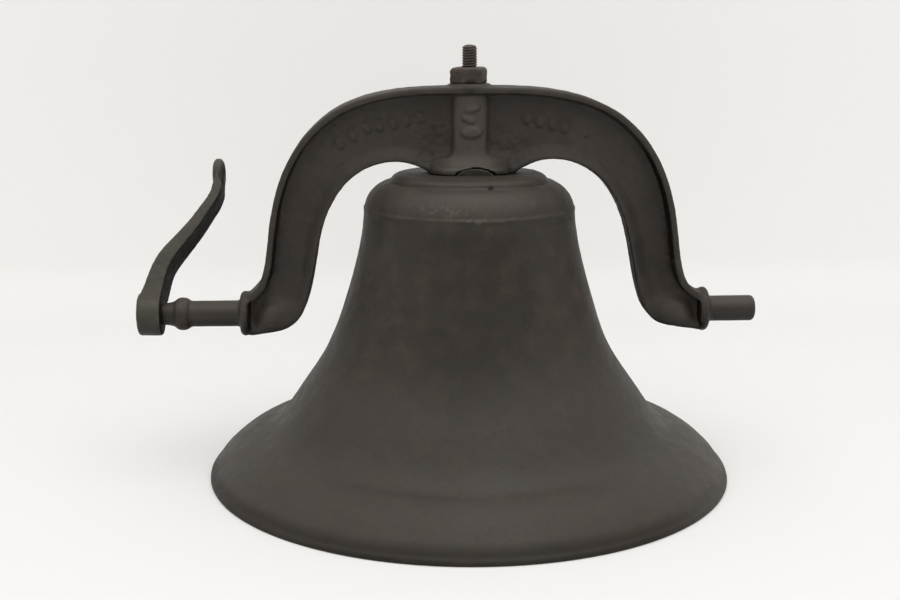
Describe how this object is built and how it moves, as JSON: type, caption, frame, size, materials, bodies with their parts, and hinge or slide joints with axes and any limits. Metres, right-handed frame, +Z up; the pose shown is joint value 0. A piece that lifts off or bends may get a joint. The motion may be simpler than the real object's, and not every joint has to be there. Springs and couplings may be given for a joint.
{
  "type": "yard dinner bell",
  "caption": "Cast-iron dinner bell on an arched yoke with trunnions, a rope crank and a swinging clapper.",
  "frame": {"origin": "centre of the bell's mouth, on the plane of its rim", "axes": "+Z up through the crown; +X along the trunnions, away from the crank; +Y to the back, where the crank leans"},
  "size_m": [0.57, 0.483, 0.3929],
  "materials": {
    "bell_iron": "matt weathered casting",
    "yoke_iron": "matt weathered casting",
    "crank_iron": "matt weathered casting",
    "clapper_iron": "matt weathered casting",
    "wrought_iron": "forged, lightly rusted",
    "rusty_steel": "rusty fastener"
  },
  "bodies": {
    "bell_and_yoke": {"bell": "bell_iron", "yoke": "yoke_iron", "yoke_nut": "rusty_steel", "crank_arm": "crank_iron", "crank_washer": "rusty_steel", "crank_screw": "rusty_steel", "crown_washer": "rusty_steel", "clapper_hanger": "wrought_iron", "clapper_pin": "wrought_iron", "clapper_pin_washer": "rusty_steel", "clapper_cotter": "rusty_steel"},
    "clapper": {"clapper_shank": "wrought_iron", "clapper_ball": "clapper_iron"}
  },
  "joints": [
    {"name": "clapper_swing", "type": "hinge", "parent": "bell_and_yoke", "child": "clapper", "pos_m": [0, 0, 0.226], "axis": [1, 0, 0], "range_deg": [-35.8, 35.8]}
  ]
}
